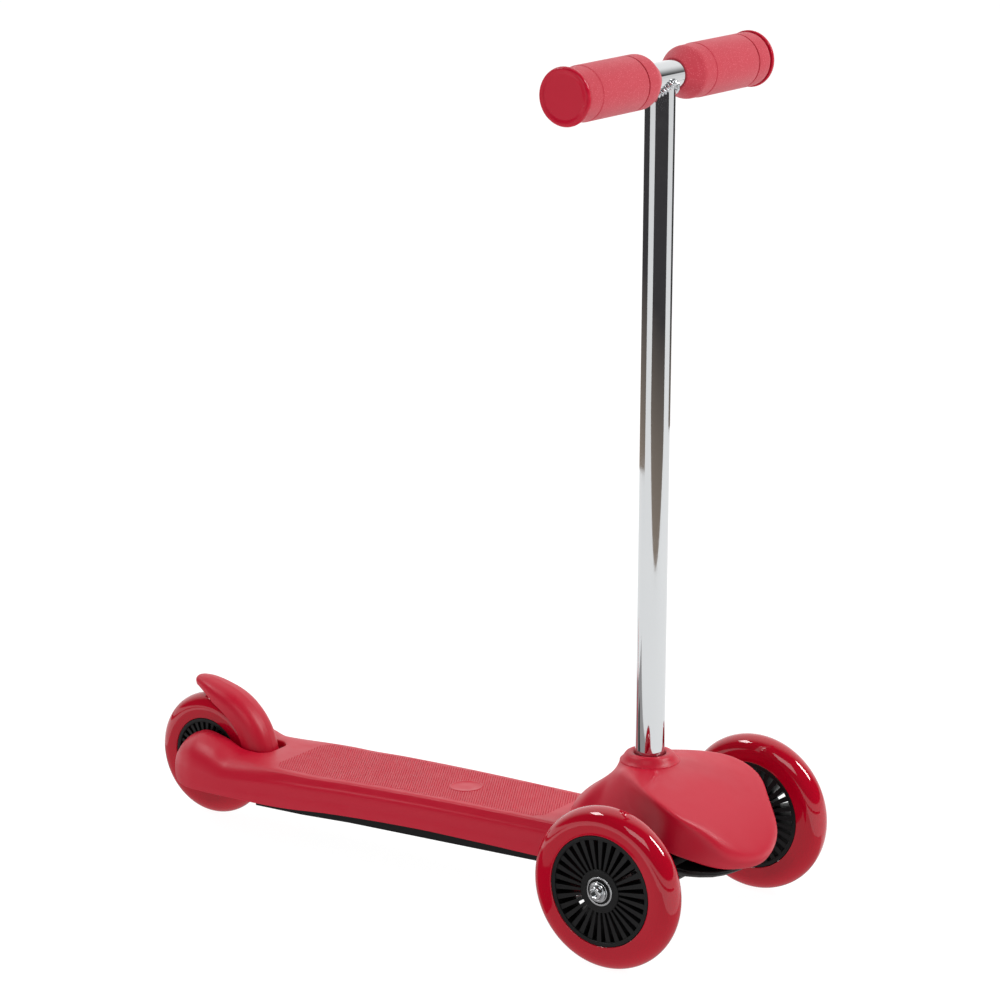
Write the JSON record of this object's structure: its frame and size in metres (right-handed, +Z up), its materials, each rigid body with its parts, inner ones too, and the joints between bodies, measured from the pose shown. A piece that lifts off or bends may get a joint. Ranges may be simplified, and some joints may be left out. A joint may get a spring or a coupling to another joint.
{
  "type": "three wheel kids scooter",
  "caption": "Toddler kick scooter: red moulded deck and nose cover, lean-to-steer front wheels, one rear wheel under a foot brake, and a chrome T-bar with foam grips.",
  "frame": {"origin": "on the ground, in the middle of the length and width", "axes": "+X towards the front wheels, +Y to the rider's left, +Z up"},
  "size_m": [0.5656, 0.249, 0.6562],
  "materials": {
    "red_plastic": "satin",
    "red_cap": "semi-gloss",
    "red_tyre": "glossy",
    "red_foam": "matt foam",
    "black_plastic": "matt",
    "chrome": "mirror",
    "zinc_steel": "bright zinc",
    "black_rubber": "matt"
  },
  "bodies": {
    "frame": {"front_frame": "black_plastic", "kingpin_bolt": "zinc_steel", "steer_buffer_left": "black_rubber", "steer_buffer_right": "black_rubber", "stem_tube": "chrome", "stem_thread_insert": "zinc_steel", "stem_bolt": "zinc_steel", "crossbar": "chrome", "grip_left": "red_foam", "grip_end_cap_left": "red_cap", "grip_right": "red_foam", "grip_end_cap_right": "red_cap", "nose_cover": "red_plastic", "stem_collar": "red_plastic", "nose_tray": "black_plastic", "deck_shell": "red_plastic", "bottom_plate": "black_plastic", "plate_screw_1": "zinc_steel", "plate_screw_2": "zinc_steel", "plate_screw_3": "zinc_steel", "plate_screw_4": "zinc_steel", "plate_screw_5": "zinc_steel", "plate_screw_6": "zinc_steel", "frame_screw_1": "zinc_steel", "frame_screw_2": "zinc_steel", "rear_axle": "zinc_steel", "axle_clamp_left": "black_plastic", "axle_clamp_screw_left": "zinc_steel", "axle_clamp_right": "black_plastic", "axle_clamp_screw_right": "zinc_steel", "brake_pin": "zinc_steel", "brake_spring": "zinc_steel"},
    "truck": {"truck_beam": "black_plastic", "front_axle_bolt_left": "zinc_steel", "front_axle_washer_left": "zinc_steel", "front_axle_nut_left": "zinc_steel", "front_axle_bolt_right": "zinc_steel", "front_axle_washer_right": "zinc_steel", "front_axle_nut_right": "zinc_steel"},
    "front_wheel_left": {"front_wheel_left_tyre": "red_tyre", "front_wheel_left_hub": "black_plastic", "front_wheel_left_bearing_left": "zinc_steel", "front_wheel_left_bearing_right": "zinc_steel", "front_wheel_left_bearing_spacer": "zinc_steel"},
    "front_wheel_right": {"front_wheel_right_tyre": "red_tyre", "front_wheel_right_hub": "black_plastic", "front_wheel_right_bearing_left": "zinc_steel", "front_wheel_right_bearing_right": "zinc_steel", "front_wheel_right_bearing_spacer": "zinc_steel"},
    "rear_wheel": {"rear_wheel_tyre": "red_tyre", "rear_wheel_hub": "black_plastic", "rear_wheel_bearing_left": "zinc_steel", "rear_wheel_bearing_right": "zinc_steel", "rear_wheel_bearing_spacer": "zinc_steel"},
    "brake": {"brake_lever": "red_plastic", "brake_pad": "black_plastic"}
  },
  "joints": [
    {"name": "truck_lean", "type": "hinge", "parent": "frame", "child": "truck", "pos_m": [0.21575, 0, 0.07], "axis": [0.9063, 0, 0.4226], "range_deg": [-10, 10], "stiffness_Nm_per_rad": 40, "deforming": ["steer_buffer_left", "steer_buffer_right"]},
    {"name": "front_wheel_left_spin", "type": "hinge", "parent": "truck", "child": "front_wheel_left", "pos_m": [0.21575, 0.10375, 0.061], "axis": [0, 1, 0], "continuous": true},
    {"name": "front_wheel_right_spin", "type": "hinge", "parent": "truck", "child": "front_wheel_right", "pos_m": [0.21575, -0.10375, 0.061], "axis": [0, 1, 0], "continuous": true},
    {"name": "rear_wheel_spin", "type": "hinge", "parent": "frame", "child": "rear_wheel", "pos_m": [-0.23275, 0, 0.05], "axis": [0, 1, 0], "continuous": true},
    {"name": "brake_press", "type": "hinge", "parent": "frame", "child": "brake", "pos_m": [-0.17475, 0, 0.054], "axis": [0, -1, 0], "range_deg": [0, 5], "stiffness_Nm_per_rad": 0.8, "springref_deg": -20.05}
  ]
}
